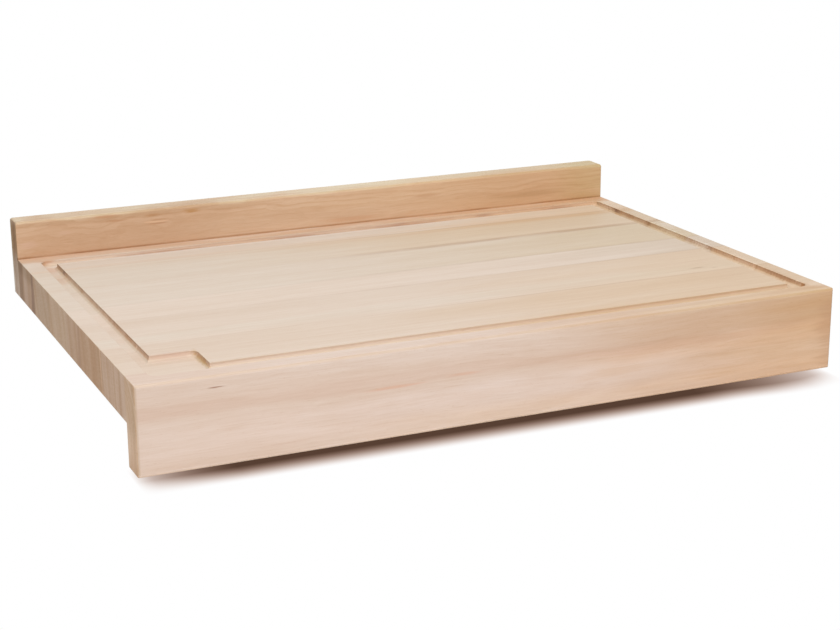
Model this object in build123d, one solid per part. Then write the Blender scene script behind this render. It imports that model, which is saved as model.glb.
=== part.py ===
from build123d import *
import os

# A wooden worktop cutting board. An apron hangs in front of the worktop edge, a back rail stands
# up as a splash stop, and a juice groove with a corner pocket runs round the cutting surface.
#
# Frame: +X to the right, +Y to the back, +Z up. The origin is under the middle of the board, at
# the height of the apron's foot. The underside of the panel is the face that lies on the worktop.

# ---- Overall sizes, in millimetres -------------------------------------------------------------
BOARD_WIDTH = 600.0         # left end to right end, along the grain
BOARD_DEPTH = 415.0         # the apron's front to the rail's back
PANEL_THICKNESS = 36.0
APRON_HEIGHT = 70.0         # the apron's plank, level with the cutting surface at its top
APRON_THICKNESS = 26.0
RAIL_HEIGHT = 70.0          # the rail's plank, level with the panel's underside at its foot
RAIL_THICKNESS = 24.0
STAVE_PROPORTIONS = (66, 70, 44, 69, 59, 57)    # the staves fill the panel so, front to back

# ---- Juice groove and pocket -------------------------------------------------------------------
RIM = 16.5                  # wood left between the groove and the left end, the front or the rail
RIM_AT_RIGHT = 14.0         # the same at the right end
GROOVE_WIDTH = 12.5         # one pass of the cutter, so the outer corners have half this radius
GROOVE_DEPTH = 5.0
COVE_RADIUS = 4.0           # the rounded foot of the groove's walls
ARRIS_RADIUS = 0.5          # the groove's upper edges, softened by sanding
POCKET_WIDTH = 36.0         # how far the pocket reaches into the cutting surface, along X
POCKET_DEPTH = 35.0         # the same, along Y

# ---- Edges -------------------------------------------------------------------------------------
ROUND_RADIUS = 2.5          # the apron's front edges and the rail's top edges
EASE_RADIUS = 0.8           # the other outer edges, just broken with sandpaper

# ---- Dowels in the two long glue joints --------------------------------------------------------
DOWEL_DIAMETER = 8.0
DOWEL_LENGTH = 40.0
DOWEL_CHAMFER = 1.0
DOWEL_COUNT = 5             # in each of the two joints
DOWEL_END_DISTANCE = 40.0   # from the board's end to the first dowel's axis
DOWEL_IN_PLANK = 15.0       # how far a dowel reaches into the apron or the rail
BORE_CLEARANCE = 0.1        # the glue film round a dowel, on the radius
BORE_END_ROOM = 1.0         # room for glue past each end of a dowel

# ---- Worked out from the sizes above -----------------------------------------------------------
FRONT = -BOARD_DEPTH / 2
PANEL_FRONT = FRONT + APRON_THICKNESS
BACK = BOARD_DEPTH / 2
PANEL_BACK = BACK - RAIL_THICKNESS
PANEL_DEPTH = PANEL_BACK - PANEL_FRONT
LEFT_END = -BOARD_WIDTH / 2
RIGHT_END = BOARD_WIDTH / 2
TOP = APRON_HEIGHT
UNDERSIDE = TOP - PANEL_THICKNESS
RAIL_TOP = UNDERSIDE + RAIL_HEIGHT
LOWER_LEFT = (Align.MIN, Align.MIN)
ON_PLACE = 0.001            # an edge this near a plane counts as lying in it


def edges_at(solid, axis, **place):
    """The edges along an axis whose middle lies at the given X, Y or Z values."""

    def is_there(edge):
        middle = edge.center()
        return all(abs(getattr(middle, name) - value) < ON_PLACE for name, value in place.items())

    return solid.edges().filter_by(axis).filter_by(is_there)


def glued_blank():
    """Apron, panel and rail glued up, as one section carried along the grain."""
    section = Polyline(
        (FRONT, 0),
        (PANEL_FRONT, 0),
        (PANEL_FRONT, UNDERSIDE),
        (BACK, UNDERSIDE),
        (BACK, RAIL_TOP),
        (PANEL_BACK, RAIL_TOP),
        (PANEL_BACK, TOP),
        (FRONT, TOP),
        close=True,
    )
    return extrude(Plane.YZ * make_face(section), BOARD_WIDTH / 2, both=True)


def rounded(blank):
    """Rounds the edges that hands meet: round the apron's front and along the rail's top."""
    edges = edges_at(blank, Axis.X, Y=FRONT) + edges_at(blank, Axis.X, Z=RAIL_TOP)
    for end in (LEFT_END, RIGHT_END):
        edges += edges_at(blank, Axis.Z, X=end, Y=FRONT)
        edges += edges_at(blank, Axis.Y, X=end, Z=RAIL_TOP)
    return fillet(edges, ROUND_RADIUS)


def eased(blank):
    """Breaks the sharpness of the ends' edges and of the two long edges underneath."""
    edges = edges_at(blank, Axis.X, Y=PANEL_FRONT, Z=0)
    edges += edges_at(blank, Axis.X, Y=BACK, Z=UNDERSIDE)
    for end in (LEFT_END, RIGHT_END):
        edges += edges_at(blank, Axis.Y, X=end)
        edges += edges_at(blank, Axis.Z, X=end)
    return fillet(edges, EASE_RADIUS)


def groove_outline():
    """The ring that the cutter takes away, with the pocket opened into its front left corner."""
    cutter_radius = GROOVE_WIDTH / 2
    ring_size = (BOARD_WIDTH - RIM - RIM_AT_RIGHT, PANEL_BACK - FRONT - 2 * RIM)
    island_size = [side - 2 * GROOVE_WIDTH for side in ring_size]
    pocket_size = (POCKET_WIDTH + cutter_radius, POCKET_DEPTH + cutter_radius)
    ring_corner = Pos(LEFT_END + RIM, FRONT + RIM)
    outside = ring_corner * RectangleRounded(*ring_size, cutter_radius, align=LOWER_LEFT)
    island = ring_corner * Pos(GROOVE_WIDTH, GROOVE_WIDTH) * Rectangle(*island_size, align=LOWER_LEFT)
    pocket = Rectangle(*pocket_size, align=LOWER_LEFT)
    pocket = fillet(pocket.vertices().group_by(Axis.Y)[-1].sort_by(Axis.X)[-1], cutter_radius)
    return outside - island + ring_corner * Pos(cutter_radius, cutter_radius) * pocket


def groove_cut():
    """The wood that the groove and the pocket take out, with a cove all round their floor."""
    cut = extrude(Pos(0, 0, TOP) * groove_outline(), -GROOVE_DEPTH)
    floor_edges = cut.edges().group_by(Axis.Z)[0]
    return fillet(floor_edges, COVE_RADIUS)


def grooved(blank):
    """Cuts the groove and its pocket, and softens their upper edges."""
    board = blank - groove_cut()
    left_line, right_line = LEFT_END + RIM - ON_PLACE, RIGHT_END - RIM_AT_RIGHT + ON_PLACE
    front_line, back_line = FRONT + RIM - ON_PLACE, PANEL_BACK - RIM + ON_PLACE

    def is_arris(edge):
        middle = edge.center()
        on_top = abs(middle.Z - TOP) < ON_PLACE
        return on_top and left_line < middle.X < right_line and front_line < middle.Y < back_line

    straight_wall = GROOVE_DEPTH - COVE_RADIUS
    return fillet(board.edges().filter_by(is_arris), min(ARRIS_RADIUS, straight_wall / 2))


def slice_of(board, y_front, y_back):
    """The part of the board between two glue joints, at its full width and height."""
    slab = Box(BOARD_WIDTH, y_back - y_front, RAIL_TOP, align=(Align.CENTER, Align.MIN, Align.MIN))
    return board & Pos(0, y_front, 0) * slab


def dowel_places(joint_y, into_plank):
    """Where the dowels of one joint have their middles; into_plank is the plank's side, -1 or +1."""
    span = BOARD_WIDTH - 2 * DOWEL_END_DISTANCE
    spacing = span / (DOWEL_COUNT - 1)
    middle_y = joint_y + into_plank * (DOWEL_IN_PLANK - DOWEL_LENGTH / 2)
    level = (TOP + UNDERSIDE) / 2
    return [Pos(LEFT_END + DOWEL_END_DISTANCE + spacing * n, middle_y, level) for n in range(DOWEL_COUNT)]


def dowel():
    """One dowel pin, lying along Y."""
    pin = Rot(90, 0, 0) * Cylinder(DOWEL_DIAMETER / 2, DOWEL_LENGTH)
    return chamfer(pin.edges().filter_by(GeomType.CIRCLE), DOWEL_CHAMFER)


def dowel_bore():
    """The space that one dowel is glued into, shared by the two pieces that it joins."""
    radius = DOWEL_DIAMETER / 2 + BORE_CLEARANCE
    return Rot(90, 0, 0) * Cylinder(radius, DOWEL_LENGTH + 2 * BORE_END_ROOM)


def timber_pieces(dowels_at):
    """The apron, the staves and the rail, by name."""
    board = grooved(eased(rounded(glued_blank())))
    for place in dowels_at:
        board -= place * dowel_bore()
    pieces = {"front_apron": slice_of(board, FRONT, PANEL_FRONT)}
    joint = PANEL_FRONT
    for number, proportion in enumerate(STAVE_PROPORTIONS, start=1):
        width = PANEL_DEPTH * proportion / sum(STAVE_PROPORTIONS)
        pieces[f"stave_{number}"] = slice_of(board, joint, joint + width)
        joint += width
    pieces["back_rail"] = slice_of(board, PANEL_BACK, BACK)
    return pieces


def main():
    apron_joint = dowel_places(PANEL_FRONT, into_plank=-1)
    rail_joint = dowel_places(PANEL_BACK, into_plank=1)
    pieces = timber_pieces(apron_joint + rail_joint)
    for name, places in (("apron_dowel", apron_joint), ("rail_dowel", rail_joint)):
        for number, place in enumerate(places, start=1):
            pieces[f"{name}_{number}"] = place * dowel()
    os.makedirs("parts", exist_ok=True)
    for name, piece in pieces.items():
        export_step(piece, f"parts/{name}.step")


main()
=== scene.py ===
import math
from typing import NamedTuple

import bpy
from mathutils import Matrix, Vector

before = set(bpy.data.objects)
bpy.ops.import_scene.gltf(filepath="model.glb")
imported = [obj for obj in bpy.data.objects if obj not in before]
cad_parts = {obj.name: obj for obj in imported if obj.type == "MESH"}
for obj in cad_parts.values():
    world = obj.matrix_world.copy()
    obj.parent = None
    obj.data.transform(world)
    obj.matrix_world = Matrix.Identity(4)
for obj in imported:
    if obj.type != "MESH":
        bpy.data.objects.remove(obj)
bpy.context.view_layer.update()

# The looks of a wooden worktop cutting board: an apron, six staves and a back rail, each from its own
# piece of pale timber with the grain along X. Inside a material, places and sizes are in millimetres.
# The camera, the floor's mesh and the light are in metres, as Blender has them.
MM = 0.001
X, Y, Z = range(3)
MIX_FIRST, MIX_SECOND, MIX_RESULT = 6, 7, 2     # the sockets for colours on a Mix node

# ---- Shader building -------------------------------------------------------------------------


def linear(red, green, blue):
    """An 8-bit sRGB colour as the linear colour that a shader takes."""

    def channel(byte):
        share = byte / 255
        return ((share + 0.055) / 1.055) ** 2.4 if share > 0.04045 else share / 12.92

    return (channel(red), channel(green), channel(blue), 1.0)


class Shader:
    """The nodes of one material. Most methods take numbers or sockets and return a socket."""

    def __init__(self, name):
        self.material = bpy.data.materials.new(name)
        self.material.use_nodes = True
        self.tree = self.material.node_tree
        self.tree.nodes.clear()

    def add(self, kind, inputs=None, **settings):
        """A new node, with the given values or sockets in its inputs."""
        node = self.tree.nodes.new("ShaderNode" + kind)
        for name, value in settings.items():
            setattr(node, name, value)
        for key, value in (inputs or {}).items():
            socket = node.inputs[key]
            if isinstance(value, bpy.types.NodeSocket):
                self.tree.links.new(value, socket)
            else:
                socket.default_value = value
        return node

    def finish(self, surface):
        self.add("OutputMaterial", {"Surface": surface})
        return self.material

    def math(self, operation, *values):
        return self.add("Math", dict(enumerate(values)), operation=operation).outputs[0]

    def total(self, *values):
        result = values[0]
        for value in values[1:]:
            result = self.math("ADD", result, value)
        return result

    def product(self, *values):
        result = values[0]
        for value in values[1:]:
            result = self.math("MULTIPLY", result, value)
        return result

    def line(self, value, start, end):
        """0 at start and 1 at end, with a straight rise between."""
        return self.add("MapRange", {"Value": value, "From Min": start, "From Max": end}).outputs["Result"]

    def step(self, value, start, end, low=0.0, high=1.0):
        """low at start and high at end, with a smooth change between."""
        inputs = {"Value": value, "From Min": start, "From Max": end, "To Min": low, "To Max": high}
        return self.add("MapRange", inputs, interpolation_type="SMOOTHSTEP").outputs["Result"]

    def vector(self, operation, *values):
        return self.add("VectorMath", dict(enumerate(values)), operation=operation).outputs[0]

    def length(self, vector):
        return self.add("VectorMath", {0: vector}, operation="LENGTH").outputs["Value"]

    def joined(self, x, y, z):
        return self.add("CombineXYZ", {X: x, Y: y, Z: z}).outputs[0]

    def parts(self, vector):
        """The X, Y and Z of a vector."""
        return tuple(self.add("SeparateXYZ", {0: vector}).outputs)

    def place_in_mm(self):
        place = self.add("TexCoord").outputs["Object"]
        return self.add("VectorMath", {0: place, "Scale": 1 / MM}, operation="SCALE").outputs[0]

    def mix(self, factor, first, second, blend="MIX"):
        inputs = {0: factor, MIX_FIRST: first, MIX_SECOND: second}
        node = self.add("Mix", inputs, data_type="RGBA", blend_type=blend, clamp_factor=True)
        return node.outputs[MIX_RESULT]

    def share_of(self, colour, share):
        """The colour times a share for its red, green and blue."""
        return self.mix(1.0, colour, (*share, 1.0), "MULTIPLY")

    def tinted(self, colour, strength, share):
        """The colour where the strength is 0, and the given share of it where the strength is 1."""
        return self.mix(strength, colour, self.share_of(colour, share))

    def seen_directly(self):
        """1 where the camera, a gloss or glass sees a surface, and 0 where it only lights others."""
        path = self.add("LightPath").outputs
        seen = self.math("MAXIMUM", path["Is Camera Ray"], path["Is Glossy Ray"])
        return self.math("MAXIMUM", seen, path["Is Transmission Ray"])


# ---- What is in a plank ----------------------------------------------------------------------

EVERYWHERE = (-900, -800)       # a rise that ends left of the board, so it is full all along X


class Stripe(NamedTuple):
    """A band of other wood. Those noted as painted light instead lighten places that lie in shade."""

    across: int                 # the axis that it is measured along
    at: float                   # its middle
    half: float                 # its half width
    gain: tuple                 # the share that it leaves of the plank's colour
    faces: float = 1.0          # its strength on the long faces
    ends: float = 0.0           # and on the end grain
    rises: tuple = EVERYWHERE   # where it begins and where it is full, along X
    wanders: bool = True        # whether it follows the grain's bends


class Joint(NamedTuple):
    """The dark line of a glue joint, as seen in the plank on either side of it. Where the back rail
    stands on the panel, the line is also painted shade in the corner between them.
    """

    at: float
    half: float
    strength: float
    rises: tuple = EVERYWHERE   # along X, from the share at_left of its strength to all of it
    at_left: float = 0.33
    across: int = Y
    fades: tuple = (900, 800)   # where it begins and where it is full, along Y


class Mark(NamedTuple):
    """A patch of flat colour. Most are short streaks in the wood; those on the groove's right wall and in
    its back left corner are painted light and shade.
    """

    centre: tuple
    sizes: tuple                # its half sizes
    strength: float
    tint: tuple                 # its own colour, as on the screen


RIGHT_WALL_X, RIGHT_WALL_Z = 286, 68.2
RAIL_FRONT = 183


def right_wall_light_and_shade(middle, reach, strength, tint):
    """One plank's piece of the groove's outer wall at the right, in a flat colour that paints the light and
    shade on this wall: painted light where the tint is paler than the wood, painted shade where it is
    darker.
    """
    return Mark((RIGHT_WALL_X, middle, RIGHT_WALL_Z), (4, reach, 3.2), strength, tint)


def rail_streak(x, z, reach, half_height, strength, tint):
    """A streak on the front of the back rail."""
    return Mark((x, RAIL_FRONT, z), (reach, 8, half_height), strength, tint)


# ---- Timber ----------------------------------------------------------------------------------

# The shares of a plank's own colour that are left in its lightest and its darkest grain, in the line of a
# glue joint, which at the rail's foot is also painted shade in the corner, on the walls that the groove's
# cutter left, and on the arrises, where it is painted shade that tones down their highlight.
PALEST = (1.09, 1.15, 1.22)
DEEPEST = (0.90, 0.83, 0.76)
GLUE_LINE_AND_SHADE = (0.68, 0.54, 0.43)
CUT = (1.03, 0.97, 0.93)
ARRIS_SHADE = (0.90, 0.87, 0.80)

# What a face is, by its normal. It begins to be that at the first value, and wholly is at the second.
END_GRAIN = (0.65, 0.95)        # the normal's part along X
WALL = (0.85, 0.4)              # its part along Z
ARRIS = (0.985, 0.86)           # its largest part

# The box that the groove lies in: each side from a place just outside it to a place just inside.
GROOVE_TOP = (69.9, 69.2)
GROOVE_FLOOR = (63.0, 64.5)
GROOVE_ENDS = (292, 290)        # from the board's middle, either way
GROOVE_FRONT = (-198, -196)
GROOVE_BACK = (174, 172)

# The noises in the wood: how long a patch is along X, Y and Z, the offset that keeps it apart from the
# others, and how fine it is.
SEED_STEPS = (1.0, 1.7, 2.3)    # along X, Y and Z, from one seed to the next
BENDS = dict(sizes=(260, 70, 70))
CURLS = dict(sizes=(38, 24, 13), offset=3)
CLOUDS = dict(sizes=(170, 20, 20), offset=5)
BUNDLES = dict(sizes=(75, 2.2, 2.2), offset=9, detail=3.0, roughness=0.6)
FIBRES = dict(sizes=(20, 0.5, 0.5), offset=13, detail=3.0, roughness=0.65)
FLECKS = dict(sizes=(3.6, 0.7, 0.7), offset=17, detail=1.0)
RAYS = dict(sizes=(0.7, 11, 40), offset=21)     # round the pith, out from it, and along X
DASHES = dict(sizes=(34, 1.3, 1.3), offset=29)
STRIPE_PATCHES = (70, 9, 9)
JOINT_PATCHES = (45, 40, 40)

# The value of its noise at which each of these begins to show, and the value at which it shows wholly.
FLECK_SHOWS = (0.64, 0.76)
DASH_SHOWS = (0.54, 0.72)
PATCH_SHOWS = (0.30, 0.62)

# How stripes, joints and marks come and go.
BAND_CORE = 0.3                 # the share of a band's half width that is at full strength
FAINTEST_STRIPE = 0.5           # the share of its strength that is left between its patches
FAINTEST_JOINT = 0.45
MARK_SHOWS = (1.1, 0.2)         # the distances from its middle, in half sizes, where it begins and is full
RAGGED_BY_BUNDLES = 1.2         # how far its edge strays, in half sizes
RAGGED_BY_FIBRES = 0.6

# The trunk and its year rings.
BEND_REACH = 7                  # how far the rings wander either way
CURL_FADES = (-300, 100)        # along X, from all of the curl to the share CURL_AT_RIGHT
CURL_AT_RIGHT = 0.35
RING_DRIFT = 5.0                # how far a ring is from its even place, either way
DRIFT_LENGTH = 11.0             # how far apart rings have drifts of their own
LATE_WOOD_RISES = (0.35, 0.90)  # in a year's growth, from 0 to 1
LATE_WOOD_ENDS = (0.93, 1.0)
FAINTEST_RING = 0.2
BAND_WIDTH = 15.0               # of the broad bands of growth
BAND_SEED_STEP = 3.1

# How far each layer moves the tone, which is 0 in the palest wood and 1 in the deepest. Of a pair, the
# first is for the long faces and the second for the end grain.
MIDDLE_TONE = 0.46
BAND_TONE = (0.22, 0.75)
BUNDLE_TONE = (0.30, 0.45)
RAY_TONE = (0.0, 0.35)
CLOUD_TONE = 0.20
FIBRE_TONE = 0.34
FLECK_TONE = 0.25
RINGS_ON_END = 0.50
DASHES_ON_END = 0.1

WARMTH_WANDERS = 120            # how far a plank's change of colour along X strays from its place

# The surface. The roughnesses after the first are added to it where they apply.
OILED_IN_GROOVE = 0.5           # how much of the end grain's darkening the groove has
ROUGHNESS = 0.48
FIBRE_ROUGHNESS = 0.08
END_ROUGHNESS = 0.5
ARRIS_ROUGHNESS = -0.06
FIBRE_HEIGHT, BUNDLE_HEIGHT, FLECK_HEIGHT = 0.5, 0.3, -0.2
BUMP_STRENGTH = 0.3
BUMP_DEPTH = 0.06
GLOSS = 0.42                    # the specular level


class Timber(Shader):
    """One plank's wood, solid all through, so that its faces and its end grain belong together."""

    def __init__(self, name, seed, pith, ring, curl):
        super().__init__(name)
        self.seed = seed
        self.place = self.place_in_mm()
        self.straight = self.parts(self.place)
        self.x, self.y, self.z = self.straight
        self.tell_faces()
        self.wandering = self.wander(curl)
        self.grain = self.joined(*self.wandering)
        self.grow(pith, ring)
        self.cloud = self.noise(self.grain, **CLOUDS)["Fac"]
        self.bundle = self.noise(self.grain, **BUNDLES)["Fac"]
        self.fibre = self.noise(self.grain, **FIBRES)["Fac"]
        self.fleck = self.step(self.noise(self.grain, **FLECKS)["Fac"], *FLECK_SHOWS)

    def noise(self, place, sizes, offset=0, detail=2.0, roughness=0.5):
        """The outputs of a noise in which one unit is the given sizes along X, Y and Z."""
        start = tuple((self.seed + offset) * step for step in SEED_STEPS)
        vector = self.vector("ADD", self.vector("DIVIDE", place, sizes), start)
        inputs = {"Vector": vector, "Scale": 1.0, "Detail": detail, "Roughness": roughness}
        return self.add("TexNoise", inputs, noise_dimensions="3D").outputs

    def noise_along(self, value, detail):
        inputs = {"W": value, "Scale": 1.0, "Detail": detail, "Roughness": 0.5}
        return self.add("TexNoise", inputs, noise_dimensions="1D").outputs[0]

    def swing(self, value, amount):
        """A noise of 0 to 1 as a swing of up to amount either way."""
        return self.math("MULTIPLY_ADD", value, 2 * amount, -amount)

    def tell_faces(self):
        """Tells the end grain, the walls, the arrises and the inside of the groove."""
        normal = self.parts(self.add("TexCoord").outputs["Normal"])
        faces_x, faces_y, faces_z = [self.math("ABSOLUTE", part) for part in normal]
        flatness = self.math("MAXIMUM", self.math("MAXIMUM", faces_x, faces_y), faces_z)
        self.on_end = self.step(faces_x, *END_GRAIN)
        self.on_wall = self.step(faces_z, *WALL)
        self.on_arris = self.step(flatness, *ARRIS)
        self.in_groove = self.product(
            self.step(self.z, *GROOVE_TOP),
            self.step(self.z, *GROOVE_FLOOR),
            self.step(self.math("ABSOLUTE", self.x), *GROOVE_ENDS),
            self.step(self.y, *GROOVE_FRONT),
            self.step(self.y, *GROOVE_BACK),
        )

    def wander(self, curl):
        """X, Y and Z in a trunk that isn't straight: its rings bend slowly along X, and may curl."""
        slow = self.add("SeparateColor", {0: self.noise(self.place, **BENDS)["Color"]}).outputs
        across = self.total(self.y, self.swing(slow[0], BEND_REACH))
        above = self.total(self.z, self.swing(slow[1], BEND_REACH))
        if curl:
            quick = self.add("SeparateColor", {0: self.noise(self.place, **CURLS)["Color"]}).outputs
            reach = self.step(self.x, *CURL_FADES, curl, CURL_AT_RIGHT * curl)
            across = self.total(across, self.product(self.swing(quick[0], 1.0), reach))
            above = self.total(above, self.product(self.swing(quick[1], 1.0), reach))
        return (self.x, across, above)

    def grow(self, pith, ring):
        """Year rings round the pith, dark in their late wood, and rays that run out from it."""
        out = self.vector("MULTIPLY", self.vector("SUBTRACT", self.grain, (0, *pith)), (0, 1, 1))
        _, out_y, out_z = self.parts(out)
        self.radius = self.length(out)
        drift = self.noise_along(self.math("DIVIDE", self.radius, DRIFT_LENGTH), 1.0)
        years = self.math("DIVIDE", self.total(self.radius, self.swing(drift, RING_DRIFT)), ring)
        in_year = self.math("FRACT", years)
        year = self.total(self.math("FLOOR", years), self.seed)
        strength = self.add("TexWhiteNoise", {"W": year}, noise_dimensions="1D").outputs["Value"]
        late = self.product(
            self.step(in_year, *LATE_WOOD_RISES), self.step(in_year, *LATE_WOOD_ENDS, 1.0, 0.0)
        )
        self.rings = self.product(late, self.step(strength, 0.0, 1.0, FAINTEST_RING, 1.0))
        round_pith = self.math("MULTIPLY", self.math("ARCTAN2", out_z, out_y), math.hypot(*pith))
        self.rays = self.noise(self.joined(round_pith, self.radius, self.x), **RAYS)["Fac"]

    def on(self, faces, ends):
        """A strength that has one value on the long faces and another on the end grain."""
        return self.step(self.on_end, 0, 1, faces, ends)

    def band(self, away, half):
        """1 in the middle of a band, and 0 from its half width on."""
        return self.step(self.math("ABSOLUTE", away), half, BAND_CORE * half)

    def patches(self, sizes, offset, low):
        """A slow noise that lets a stripe or a line come and go."""
        return self.step(self.noise(self.grain, sizes, offset)["Fac"], *PATCH_SHOWS, low, 1.0)

    def tone(self, contrast, figure, dashes):
        """0 in the palest wood and 1 in the deepest, from broad bands down to single fibres."""
        growth = self.total(self.math("DIVIDE", self.radius, BAND_WIDTH), self.seed * BAND_SEED_STEP)
        dash = self.step(self.noise(self.grain, **DASHES)["Fac"], *DASH_SHOWS)
        return self.total(
            MIDDLE_TONE,
            self.product(self.swing(self.noise_along(growth, 2.0), contrast), self.on(*BAND_TONE)),
            self.swing(self.cloud, CLOUD_TONE * contrast),
            self.product(self.swing(self.bundle, contrast), self.on(*BUNDLE_TONE)),
            self.swing(self.fibre, FIBRE_TONE * contrast),
            self.product(self.rings, self.on(figure, RINGS_ON_END)),
            self.product(self.swing(self.rays, 1.0), self.on(*RAY_TONE)),
            self.product(self.fleck, FLECK_TONE),
            self.product(dash, self.on(dashes, DASHES_ON_END)),
        )

    def striped(self, colour, stripes):
        for stripe in stripes:
            place = self.wandering if stripe.wanders else self.straight
            away = self.math("SUBTRACT", place[stripe.across], stripe.at)
            on_faces = self.product(
                self.patches(STRIPE_PATCHES, stripe.at, FAINTEST_STRIPE),
                self.step(self.x, *stripe.rises),
                stripe.faces,
            )
            strength = self.product(self.band(away, stripe.half), self.on(on_faces, stripe.ends))
            colour = self.tinted(colour, strength, stripe.gain)
        return colour

    def jointed(self, colour, joints):
        for joint in joints:
            away = self.math("SUBTRACT", self.straight[joint.across], joint.at)
            strength = self.product(
                self.band(away, joint.half),
                self.patches(JOINT_PATCHES, joint.at, FAINTEST_JOINT),
                self.step(self.x, *joint.rises, joint.at_left * joint.strength, joint.strength),
                self.step(self.y, *joint.fades),
            )
            colour = self.tinted(colour, strength, GLUE_LINE_AND_SHADE)
        return colour

    def marked(self, colour, marks):
        for mark in marks:
            from_centre = self.vector("SUBTRACT", self.place, mark.centre)
            away = self.length(self.vector("DIVIDE", from_centre, mark.sizes))
            ragged = self.total(
                away, self.swing(self.bundle, RAGGED_BY_BUNDLES), self.swing(self.fibre, RAGGED_BY_FIBRES)
            )
            strength = self.product(self.step(ragged, *MARK_SHOWS), mark.strength)
            colour = self.mix(strength, colour, linear(*mark.tint))
        return colour

    def dressed(self, colour, ends):
        """The finished surface. End grain drinks more oil than the long faces do, though less so in the
        groove, and its open pores are dull. The arrises are sanded smooth, and carry painted shade that
        tones down the highlight on them."""
        oiled = self.product(self.on_end, self.step(self.in_groove, 0.0, 1.0, 1.0, OILED_IN_GROOVE))
        colour = self.tinted(colour, oiled, ends)
        colour = self.tinted(colour, self.product(self.in_groove, self.on_wall), CUT)
        # painted shade on the arrises, which tones down the highlight that the key light gives them
        colour = self.tinted(colour, self.on_arris, ARRIS_SHADE)
        roughness = self.total(
            ROUGHNESS,
            self.swing(self.fibre, FIBRE_ROUGHNESS),
            self.product(self.on_end, END_ROUGHNESS),
            self.product(self.on_arris, ARRIS_ROUGHNESS),
        )
        height = self.total(
            self.product(self.fibre, FIBRE_HEIGHT),
            self.product(self.bundle, BUNDLE_HEIGHT),
            self.product(self.fleck, FLECK_HEIGHT),
        )
        bump = self.add("Bump", {"Strength": BUMP_STRENGTH, "Distance": BUMP_DEPTH * MM, "Height": height})
        surface = self.add("BsdfPrincipled", {
            "Base Color": colour,
            "Roughness": roughness,
            "Specular IOR Level": GLOSS,
            "Normal": bump.outputs[0],
        })
        return self.finish(surface.outputs[0])


def timber(
    name,
    seed,
    pith, ring,                 # the trunk's middle as (Y, Z), and the mean width of a year's growth
    left, right, warms,         # its two colours, as on the screen, and where along X one becomes the other
    ends,                       # the share of its colour that its ends keep
    joints=(), stripes=(), marks=(),
    contrast=1.0,               # how strong its grain is
    figure=0.10,                # how dark its year rings are on the long faces
    dashes=0.08,                # how dark its short dashes are there
    curl=0.0,                   # how far its grain waves within a hand's width
):
    """The material of one plank."""
    wood = Timber(name, seed, pith, ring, curl)
    along = wood.step(wood.total(wood.x, wood.swing(wood.cloud, WARMTH_WANDERS)), *warms)
    own = wood.mix(along, linear(*left), linear(*right))
    tone = wood.tone(contrast, figure, dashes)
    colour = wood.mix(tone, wood.share_of(own, PALEST), wood.share_of(own, DEEPEST))
    colour = wood.striped(colour, stripes)
    colour = wood.jointed(colour, joints)
    colour = wood.marked(colour, marks)
    return wood.dressed(colour, ends)


# ---- The planks ------------------------------------------------------------------------------

APRON_JOINT = Joint(-181.5, 0.8, 0.20)
JOINT_1 = Joint(-115.5, 1.6, 0.34, rises=(-120, 60))
JOINT_2 = Joint(-45.5, 2.6, 0.26, rises=(-200, 0))
JOINT_3 = Joint(-1.5, 3.8, 0.34, rises=(-160, 160))
JOINT_4 = Joint(67.5, 6.0, 0.66, rises=(-70, 60), at_left=0.02)
JOINT_5 = Joint(126.5, 2.6, 0.30, rises=(-80, 100))
# The rail's foot, on the panel and on the rail: a glue line, deepened with painted shade in the corner
RAIL_GLUE_AND_SHADE = Joint(183.5, 0.9, 0.8)
RAIL_FOOT_GLUE_AND_SHADE = Joint(70, 2.2, 1.0, across=Z, fades=(188, 186))

BROWN = (0.66, 0.60, 0.60)
WARM = (0.97, 0.91, 0.84)

# Painted light on the cove along the groove's right wall, which lightens the shade in that hollow; and the
# reddish streaks along its back wall.
RIGHT_COVE_LIGHT = Stripe(X, 285.2, 3.4, (1.15, 1.17, 1.21), ends=0.2)
BACK_GROOVE_STREAKS = [
    Mark((middle, 166, 67), (reach, 4, 2.4), 0.6, (165, 122, 100))
    for middle, reach in ((-160, 62), (-40, 46), (85, 54), (157, 18), (235, 28))
]

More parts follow.
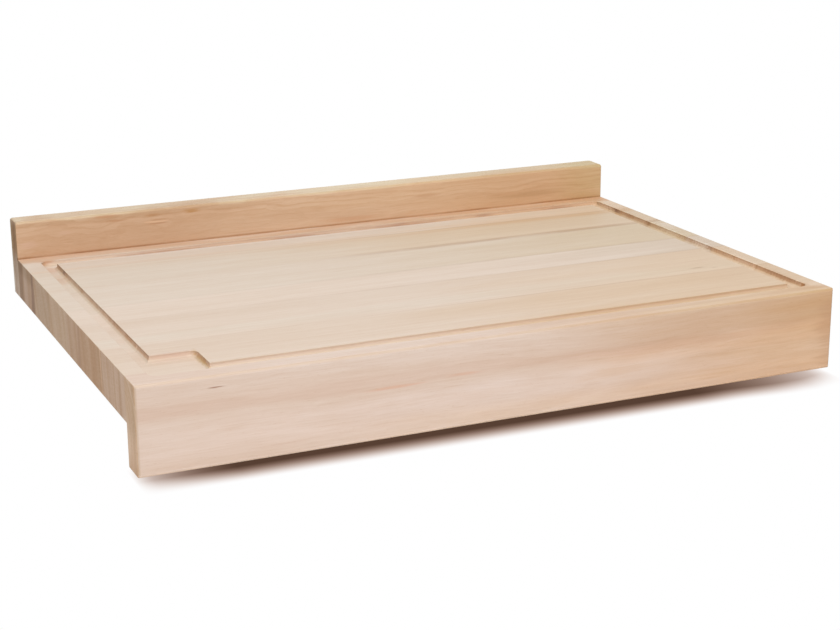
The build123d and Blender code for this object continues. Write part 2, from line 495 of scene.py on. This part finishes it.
PLANKS = {
    "front_apron": dict(
        seed=1.0, pith=(-150, 22), ring=3.4,
        left=(210, 187, 170), right=(194, 154, 116), warms=(-60, 320), ends=(0.96, 0.88, 0.74),
        stripes=(
            Stripe(Z, 46, 7, (0.95, 0.90, 0.87)),
            Stripe(Z, 22, 18, (1.06, 1.09, 1.13), ends=0.8),
            Stripe(Z, 28, 14, (1.03, 1.06, 1.10), rises=(-240, -60)),
            Stripe(Z, 25, 15, (1.07, 1.12, 1.19), rises=(130, 230)),
            Stripe(Z, 39, 12, (1.10, 1.10, 1.12), rises=(20, 110)),
            Stripe(Z, 8, 28, (1.12, 1.20, 1.36), rises=(20, 300)),
            Stripe(Z, 67, 7, (1.04, 1.08, 1.12), rises=(-270, -180)),
            Stripe(Z, 72, 5, (1.05, 1.15, 1.20), rises=(20, 240)),
            Stripe(Y, -186, 14, (1.06, 1.11, 1.15), rises=(20, 240)),
            Stripe(Y, -202, 4, (0.93, 0.91, 0.87), faces=0.0, ends=0.9),
            Stripe(Z, 14, 22, (1.08, 1.07, 1.08), faces=0.0, ends=1.0),
            Stripe(Z, 5, 13, (1.06, 1.06, 1.04), rises=(-160, -60)),
            # painted light on the apron's rounded foot, which faces down into shade
            Stripe(Z, 0, 3.2, (1.28, 1.33, 1.38), wanders=False),
            Stripe(Z, 62, 9, (1.03, 1.06, 1.09), rises=(200, 60)),
            Stripe(Y, -202.9, 4.6, (1.06, 1.08, 1.05), rises=(-60, 120)),
        ),
        marks=(
            Mark((296, -187, 70), (15, 16, 3), 0.55, (224, 204, 184)),
            right_wall_light_and_shade(-186, 8, 0.6, (180, 138, 100)),
            Mark((-241, -207, 60.6), (8, 6, 0.8), 0.80, (142, 94, 68)),
            Mark((-104, -207, 41), (26, 8, 1.8), 0.45, (205, 150, 118)),
            Mark((96, -207, 25.5), (50, 8, 7), 0.5, (204, 168, 136)),
            Mark((-44, -207, 43), (18, 8, 1.6), 0.35, (205, 150, 118)),
            Mark((300, -208, 32), (17, 4, 36), 0.5, (184, 140, 104)),
        ),
        dashes=0.18,
    ),
    "stave_1": dict(
        seed=2.0, pith=(-330, 70), ring=2.6,
        left=(211, 191, 172), right=(207, 180, 150), warms=(-160, 240), ends=(0.90, 0.79, 0.71),
        joints=(APRON_JOINT, JOINT_1),
        stripes=(
            Stripe(Y, -167, 4, (0.90, 0.86, 0.82), faces=0.0, ends=0.8),
            Stripe(Z, 66.8, 1.9, (1.05, 1.11, 1.19), wanders=False),
            RIGHT_COVE_LIGHT,
        ),
        marks=(
            right_wall_light_and_shade(-152, 34, 0.9, (188, 155, 124)),
            Mark((-254, -144, 67), (24, 5, 4), 0.6, (206, 180, 166)),
            Mark((-236, -161, 67.4), (2.2, 24, 3.8), 0.9, (196, 166, 122)),
        ),
    ),
    "stave_2": dict(
        seed=3.0, pith=(120, 20), ring=2.4,
        left=(213, 194, 176), right=(210, 185, 157), warms=(-60, 280), ends=(0.80, 0.65, 0.52),
        joints=(JOINT_1, JOINT_2),
        stripes=(
            Stripe(Y, -88, 13, (0.94, 0.88, 0.82), faces=0.0, ends=0.8),
            Stripe(Y, -110.5, 2, (1.25, 1.30, 1.35), faces=0.0, ends=0.8),
            Stripe(Y, -100, 14, (1.01, 1.05, 1.07)),
            RIGHT_COVE_LIGHT,
        ),
        marks=(
            Mark((234, -102, 70), (9, 2.0, 3), 0.65, (172, 138, 104)),
            Mark((248, -107, 70), (4, 1.2, 3), 0.45, (178, 146, 114)),
            right_wall_light_and_shade(-97, 20, 0.9, (226, 205, 183)),
        ),
    ),
    "stave_3": dict(
        seed=4.0, pith=(-210, 90), ring=2.9,
        left=(217, 199, 182), right=(207, 188, 167), warms=(80, 300), ends=(0.79, 0.66, 0.55),
        joints=(JOINT_2, JOINT_3),
        stripes=(
            Stripe(Y, -42, 6, (0.84, 0.76, 0.72), faces=0.1, ends=0.8),
            RIGHT_COVE_LIGHT,
        ),
        marks=(
            right_wall_light_and_shade(-28, 16, 0.9, (227, 215, 200)),
        ),
    ),
    "stave_4": dict(
        seed=5.0, pith=(230, 0), ring=2.5,
        left=(215, 199, 182), right=(205, 184, 155), warms=(-60, 260), ends=(0.85, 0.73, 0.62),
        joints=(JOINT_3, JOINT_4),
        stripes=(
            Stripe(Y, 66, 7, (0.90, 0.88, 0.86), faces=0.0, ends=1.0),
            RIGHT_COVE_LIGHT,
        ),
        marks=(
            right_wall_light_and_shade(24, 26, 0.9, (222, 209, 186)),
            Mark((294, 46, 70), (7, 18, 2.5), 0.5, (224, 209, 194)),
        ),
    ),
    "stave_5": dict(
        seed=6.0, pith=(-90, 120), ring=2.8,
        left=(215, 200, 183), right=(210, 187, 159), warms=(-160, 160), ends=(0.79, 0.67, 0.57),
        joints=(JOINT_4, JOINT_5),
        stripes=(
            Stripe(Y, 124, 15, WARM, ends=0.8, rises=(-420, 120)),
            Stripe(Y, 122, 8, WARM, rises=(40, 200)),
            Stripe(Y, 126, 8, BROWN, faces=0.0, ends=1.0),
        ),
        marks=(
            Mark((-278, 114, 66.5), (9, 24, 4), 0.40, (198, 156, 122)),
            right_wall_light_and_shade(101, 13, 0.8, (192, 160, 128)),
        ),
    ),
    "stave_6": dict(
        seed=7.0, pith=(330, 30), ring=2.4,
        left=(217, 202, 187), right=(217, 193, 166), warms=(0, 260), ends=(0.75, 0.61, 0.51),
        joints=(JOINT_5, RAIL_GLUE_AND_SHADE),
        stripes=(
            Stripe(Y, 130, 6, WARM),
            Stripe(Y, 127, 7, BROWN, faces=0.0, ends=1.0),
            Stripe(Y, 178, 18, (0.88, 0.70, 0.56), ends=0.1),
            Stripe(Y, 174, 14, (0.66, 0.62, 0.58), faces=0.0, ends=0.9),
            Stripe(Z, 66, 13, (0.80, 0.78, 0.72), faces=0.0, ends=1.0),
        ),
        marks=(
            *BACK_GROOVE_STREAKS,
            Mark((-278, 154, 67), (10, 22, 5), 0.50, (203, 158, 126)),
            # painted shade in the groove's back left corner
            Mark((-279, 166, 68), (8, 6, 3), 0.50, (192, 142, 104)),
            right_wall_light_and_shade(147, 18, 0.9, (226, 208, 184)),
        ),
    ),
    "back_rail": dict(
        seed=8.0, pith=(110, 60), ring=3.6,
        left=(205, 169, 137), right=(211, 172, 133), warms=(-100, 300), ends=(0.82, 0.96, 1.13),
        joints=(RAIL_FOOT_GLUE_AND_SHADE,),
        stripes=(
            Stripe(X, 20, 200, (1.10, 1.16, 1.21)),
            Stripe(X, 310, 80, (0.92, 0.96, 0.85)),
            Stripe(Z, 100, 4, (0.90, 0.87, 0.82), rises=(-30, -120)),
            Stripe(Z, 106, 6, (1.08, 1.33, 1.44)),
            Stripe(Z, 106, 6, (0.93, 0.91, 0.93), rises=(60, 180)),
            Stripe(Z, 86, 26, (0.68, 0.54, 0.37), faces=0.0, ends=1.0),
            Stripe(Z, 40, 16, (1.15, 1.19, 1.24), faces=0.0, ends=1.0),
            Stripe(Y, 194, 8, (0.90, 0.86, 0.86), faces=0.0, ends=1.0),
            Stripe(Y, 206, 7, (1.12, 1.22, 1.30), faces=0.0, ends=1.0),
        ),
        marks=(
            rail_streak(-290, 83, 10, 4.0, 0.35, (214, 178, 158)),
            rail_streak(-256, 90.5, 9, 3.0, 0.40, (213, 176, 152)),
            rail_streak(-217, 101.5, 13, 1.5, 0.50, (186, 128, 86)),
            rail_streak(-212, 96.5, 13, 1.3, 0.50, (180, 126, 82)),
            rail_streak(-174, 98.5, 10, 2.0, 0.65, (176, 126, 76)),
            rail_streak(-169, 93.6, 14, 0.9, 0.55, (180, 126, 86)),
            rail_streak(-169, 92, 13, 0.8, 0.55, (228, 188, 150)),
            rail_streak(-171, 90.2, 14, 0.9, 0.55, (180, 126, 86)),
            rail_streak(-137, 98.7, 10, 2.8, 0.75, (180, 130, 72)),
            rail_streak(24, 75, 34, 3.0, 0.35, (194, 138, 96)),
            rail_streak(102, 90, 18, 2.2, 0.40, (186, 134, 92)),
            rail_streak(216, 81, 44, 4.0, 0.40, (176, 132, 86)),
        ),
        contrast=1.3, figure=0.42, dashes=0.25, curl=4.0,
    ),
}
DOWELS = dict(
    seed=9.0, pith=(400, 400), ring=2.0,
    left=(214, 180, 140), right=(206, 170, 128), warms=(-300, 300), ends=(0.9, 0.8, 0.7),
)


def dress(node, material):
    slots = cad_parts[node].data.materials
    slots.clear()
    slots.append(material)


def dress_board():
    for node, look in PLANKS.items():
        dress(node, timber(node + "_timber", **look))
    beech = timber("dowel_beech", **DOWELS)
    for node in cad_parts:
        if "dowel" in node:
            dress(node, beech)


# ---- Camera: the photograph's place, in the object's frame -----------------------------------

CAMERA_PLACE = Vector((-0.5918, -1.3570, 0.4650))
LOOKS_TOWARDS = math.radians(24.031)    # turned from +Y towards +X
LOOKS_DOWN = math.radians(16.404)
LEANS = math.radians(-0.380)
LENS_MM = 75.19
SENSOR_MM = 36.0
FARTHEST_SEEN = 50.0


def add_camera():
    ahead = Vector((
        math.sin(LOOKS_TOWARDS) * math.cos(LOOKS_DOWN),
        math.cos(LOOKS_TOWARDS) * math.cos(LOOKS_DOWN),
        -math.sin(LOOKS_DOWN),
    ))
    level = Vector((math.cos(LOOKS_TOWARDS), -math.sin(LOOKS_TOWARDS), 0))
    upward = level.cross(ahead)
    right = level * math.cos(LEANS) + upward * math.sin(LEANS)
    up = right.cross(ahead)
    data = bpy.data.cameras.new("photo_camera")
    data.sensor_fit = "HORIZONTAL"
    data.sensor_width = SENSOR_MM
    data.lens = LENS_MM
    data.clip_end = FARTHEST_SEEN
    camera = bpy.data.objects.new("photo_camera", data)
    turn = Matrix((right, up, -ahead)).transposed().to_4x4()
    camera.matrix_world = Matrix.Translation(CAMERA_PLACE) @ turn
    bpy.context.scene.collection.objects.link(camera)
    bpy.context.scene.camera = camera


# ---- Floor -----------------------------------------------------------------------------------

FLOOR_REACH = 6.0                       # in metres, from the middle to each side
FLOOR_GAP = 0.2                         # in millimetres, from the apron's foot down to the floor
FLOOR_WHITE = (0.9, 0.9, 0.9, 1)

# The apron's own shade on the floor, in millimetres. It is nothing at the first of two places and full
# at the second. Ahead is in front of the apron, so a place behind its front is less than 0.
APRON_FRONT = -207.5
DARKEST_SHADE = (0.095, 0.051, 0.034)
SHADE_EDGE = (1.06, 1.0, 1.0)           # how much sooner each colour fades at the shade's edge
LEFT_TIP = (-304, -290, -228)           # along X: where the shade begins, bends and is full
RIGHT_TIP = (293, 275, 163)
SHARE_TO_BEND, SHARE_TO_FULL = 0.11, 0.89      # of its depth, which rise from the tip to those places
SHADE_AHEAD = (36, 7)
SHADE_BEHIND = (-24, -4)
SHADE_FALL = 1.75                       # the power that it fades by, ahead of the apron
WIDENS = (-180, 240)                    # along X: the places between which it gets wider
LESS_AT_LEFT, MORE_AT_RIGHT = 1.3, 4.0  # how much its reach is cut at the left, and gains by the right
WIDEST_FROM, WIDEST_TO = (180, 240), (283, 257)
MORE_WHERE_WIDEST = 4.5

# The real shadow, under and behind the board, in the same way.
SHADOW_BEHIND = (-6, -20)
SHADOW_FROM_LEFT = (-280, -230)
SHADOW_ENDS_RIGHT = (240, 300)          # full at the first place and nothing at the second, as is the next
SHADOW_ENDS_BACK = (120, 420)


def shade_from_tip(shader, x, tip, bend, full):
    """How deep the shade is along the apron's foot, as it rises from one of its tips."""
    to_bend = shader.product(shader.line(x, tip, bend), SHARE_TO_BEND)
    return shader.total(to_bend, shader.product(shader.line(x, tip, full), SHARE_TO_FULL))


def shade_depth(shader, x, ahead):
    """0 on clear paper and 1 where the apron's own shade is darkest."""
    along_foot = shader.product(shade_from_tip(shader, x, *LEFT_TIP), shade_from_tip(shader, x, *RIGHT_TIP))
    widest = shader.product(shader.step(x, *WIDEST_FROM), shader.step(x, *WIDEST_TO))
    narrowing = shader.total(
        shader.math("MULTIPLY_ADD", shader.line(x, *WIDENS), -MORE_AT_RIGHT, LESS_AT_LEFT),
        shader.product(widest, -MORE_WHERE_WIDEST),
    )
    fading = shader.math("POWER", shader.line(shader.total(ahead, narrowing), *SHADE_AHEAD), SHADE_FALL)
    return shader.product(along_foot, fading, shader.line(ahead, *SHADE_BEHIND))


def floor_material():
    """White paper. In front it is painted with the apron's own shade, which warms from its pale edge to
    its dark middle. Under and behind the board it keeps the real shadow. Seen from below it is clear."""
    shader = Shader("floor_white")
    x, y, _ = shader.parts(shader.place_in_mm())
    ahead = shader.math("SUBTRACT", APRON_FRONT, y)
    depth = shade_depth(shader, x, ahead)
    shade = shader.add("CombineColor", {
        part: shader.math("POWER", dark, shader.math("POWER", depth, edge))
        for part, (dark, edge) in enumerate(zip(DARKEST_SHADE, SHADE_EDGE))
    })
    in_shadow = shader.product(
        shader.step(ahead, *SHADOW_BEHIND),
        shader.product(
            shader.step(x, *SHADOW_FROM_LEFT),
            shader.step(x, *SHADOW_ENDS_RIGHT, 1.0, 0.0),
            shader.step(y, *SHADOW_ENDS_BACK, 1.0, 0.0),
        ),
    )
    is_painted = shader.product(shader.seen_directly(), shader.math("SUBTRACT", 1.0, in_shadow))
    paper = shader.add("BsdfDiffuse", {"Color": FLOOR_WHITE}).outputs[0]
    painted = shader.add("Emission", {"Color": shade.outputs[0], "Strength": 1.0}).outputs[0]
    from_above = shader.add("MixShader", {0: is_painted, 1: paper, 2: painted}).outputs[0]
    is_below = shader.add("NewGeometry").outputs["Backfacing"]
    clear = shader.add("BsdfTransparent").outputs[0]
    return shader.finish(shader.add("MixShader", {0: is_below, 1: from_above, 2: clear}).outputs[0])


def add_floor():
    low, high = -FLOOR_REACH, FLOOR_REACH
    corners = [(low, low, 0), (high, low, 0), (high, high, 0), (low, high, 0)]
    mesh = bpy.data.meshes.new("floor")
    mesh.from_pydata(corners, [], [(0, 1, 2, 3)])
    mesh.materials.append(floor_material())
    floor = bpy.data.objects.new("floor", mesh)
    floor.location.z = -FLOOR_GAP * MM
    bpy.context.scene.collection.objects.link(floor)


# ---- Light -----------------------------------------------------------------------------------

STUDIO_STRENGTH = 0.42
KEY_PLACE = Vector((-0.4, -1.35, 2.2))
KEY_AIM = Vector((0, 0, 0.05))
KEY_SIZE = 1.2                          # each side, in metres
KEY_POWER = 52                          # in watts


def add_studio():
    """An even white studio: white where it is seen, and of STUDIO_STRENGTH where it only lights."""
    world = bpy.data.worlds.new("studio")
    world.use_nodes = True
    tree = world.node_tree
    path = tree.nodes.new("ShaderNodeLightPath")
    seen = tree.nodes.new("ShaderNodeMath")
    seen.operation = "MAXIMUM"
    tree.links.new(path.outputs["Is Camera Ray"], seen.inputs[0])
    tree.links.new(path.outputs["Is Glossy Ray"], seen.inputs[1])
    level = tree.nodes.new("ShaderNodeMapRange")
    level.inputs["To Min"].default_value = STUDIO_STRENGTH
    tree.links.new(seen.outputs[0], level.inputs["Value"])
    background = tree.nodes["Background"]
    background.inputs["Color"].default_value = (1, 1, 1, 1)
    tree.links.new(level.outputs["Result"], background.inputs["Strength"])
    bpy.context.scene.world = world


def add_key():
    """One soft box, above and in front, a little to the left."""
    data = bpy.data.lights.new("key", "AREA")
    data.shape = "RECTANGLE"
    data.size = KEY_SIZE
    data.size_y = KEY_SIZE
    data.energy = KEY_POWER
    lamp = bpy.data.objects.new("key", data)
    lamp.location = KEY_PLACE
    lamp.rotation_euler = (KEY_AIM - KEY_PLACE).to_track_quat("-Z", "Y").to_euler()
    bpy.context.scene.collection.objects.link(lamp)


dress_board()
add_camera()
add_floor()
add_studio()
add_key()

bpy.context.scene.view_settings.view_transform = "Standard"
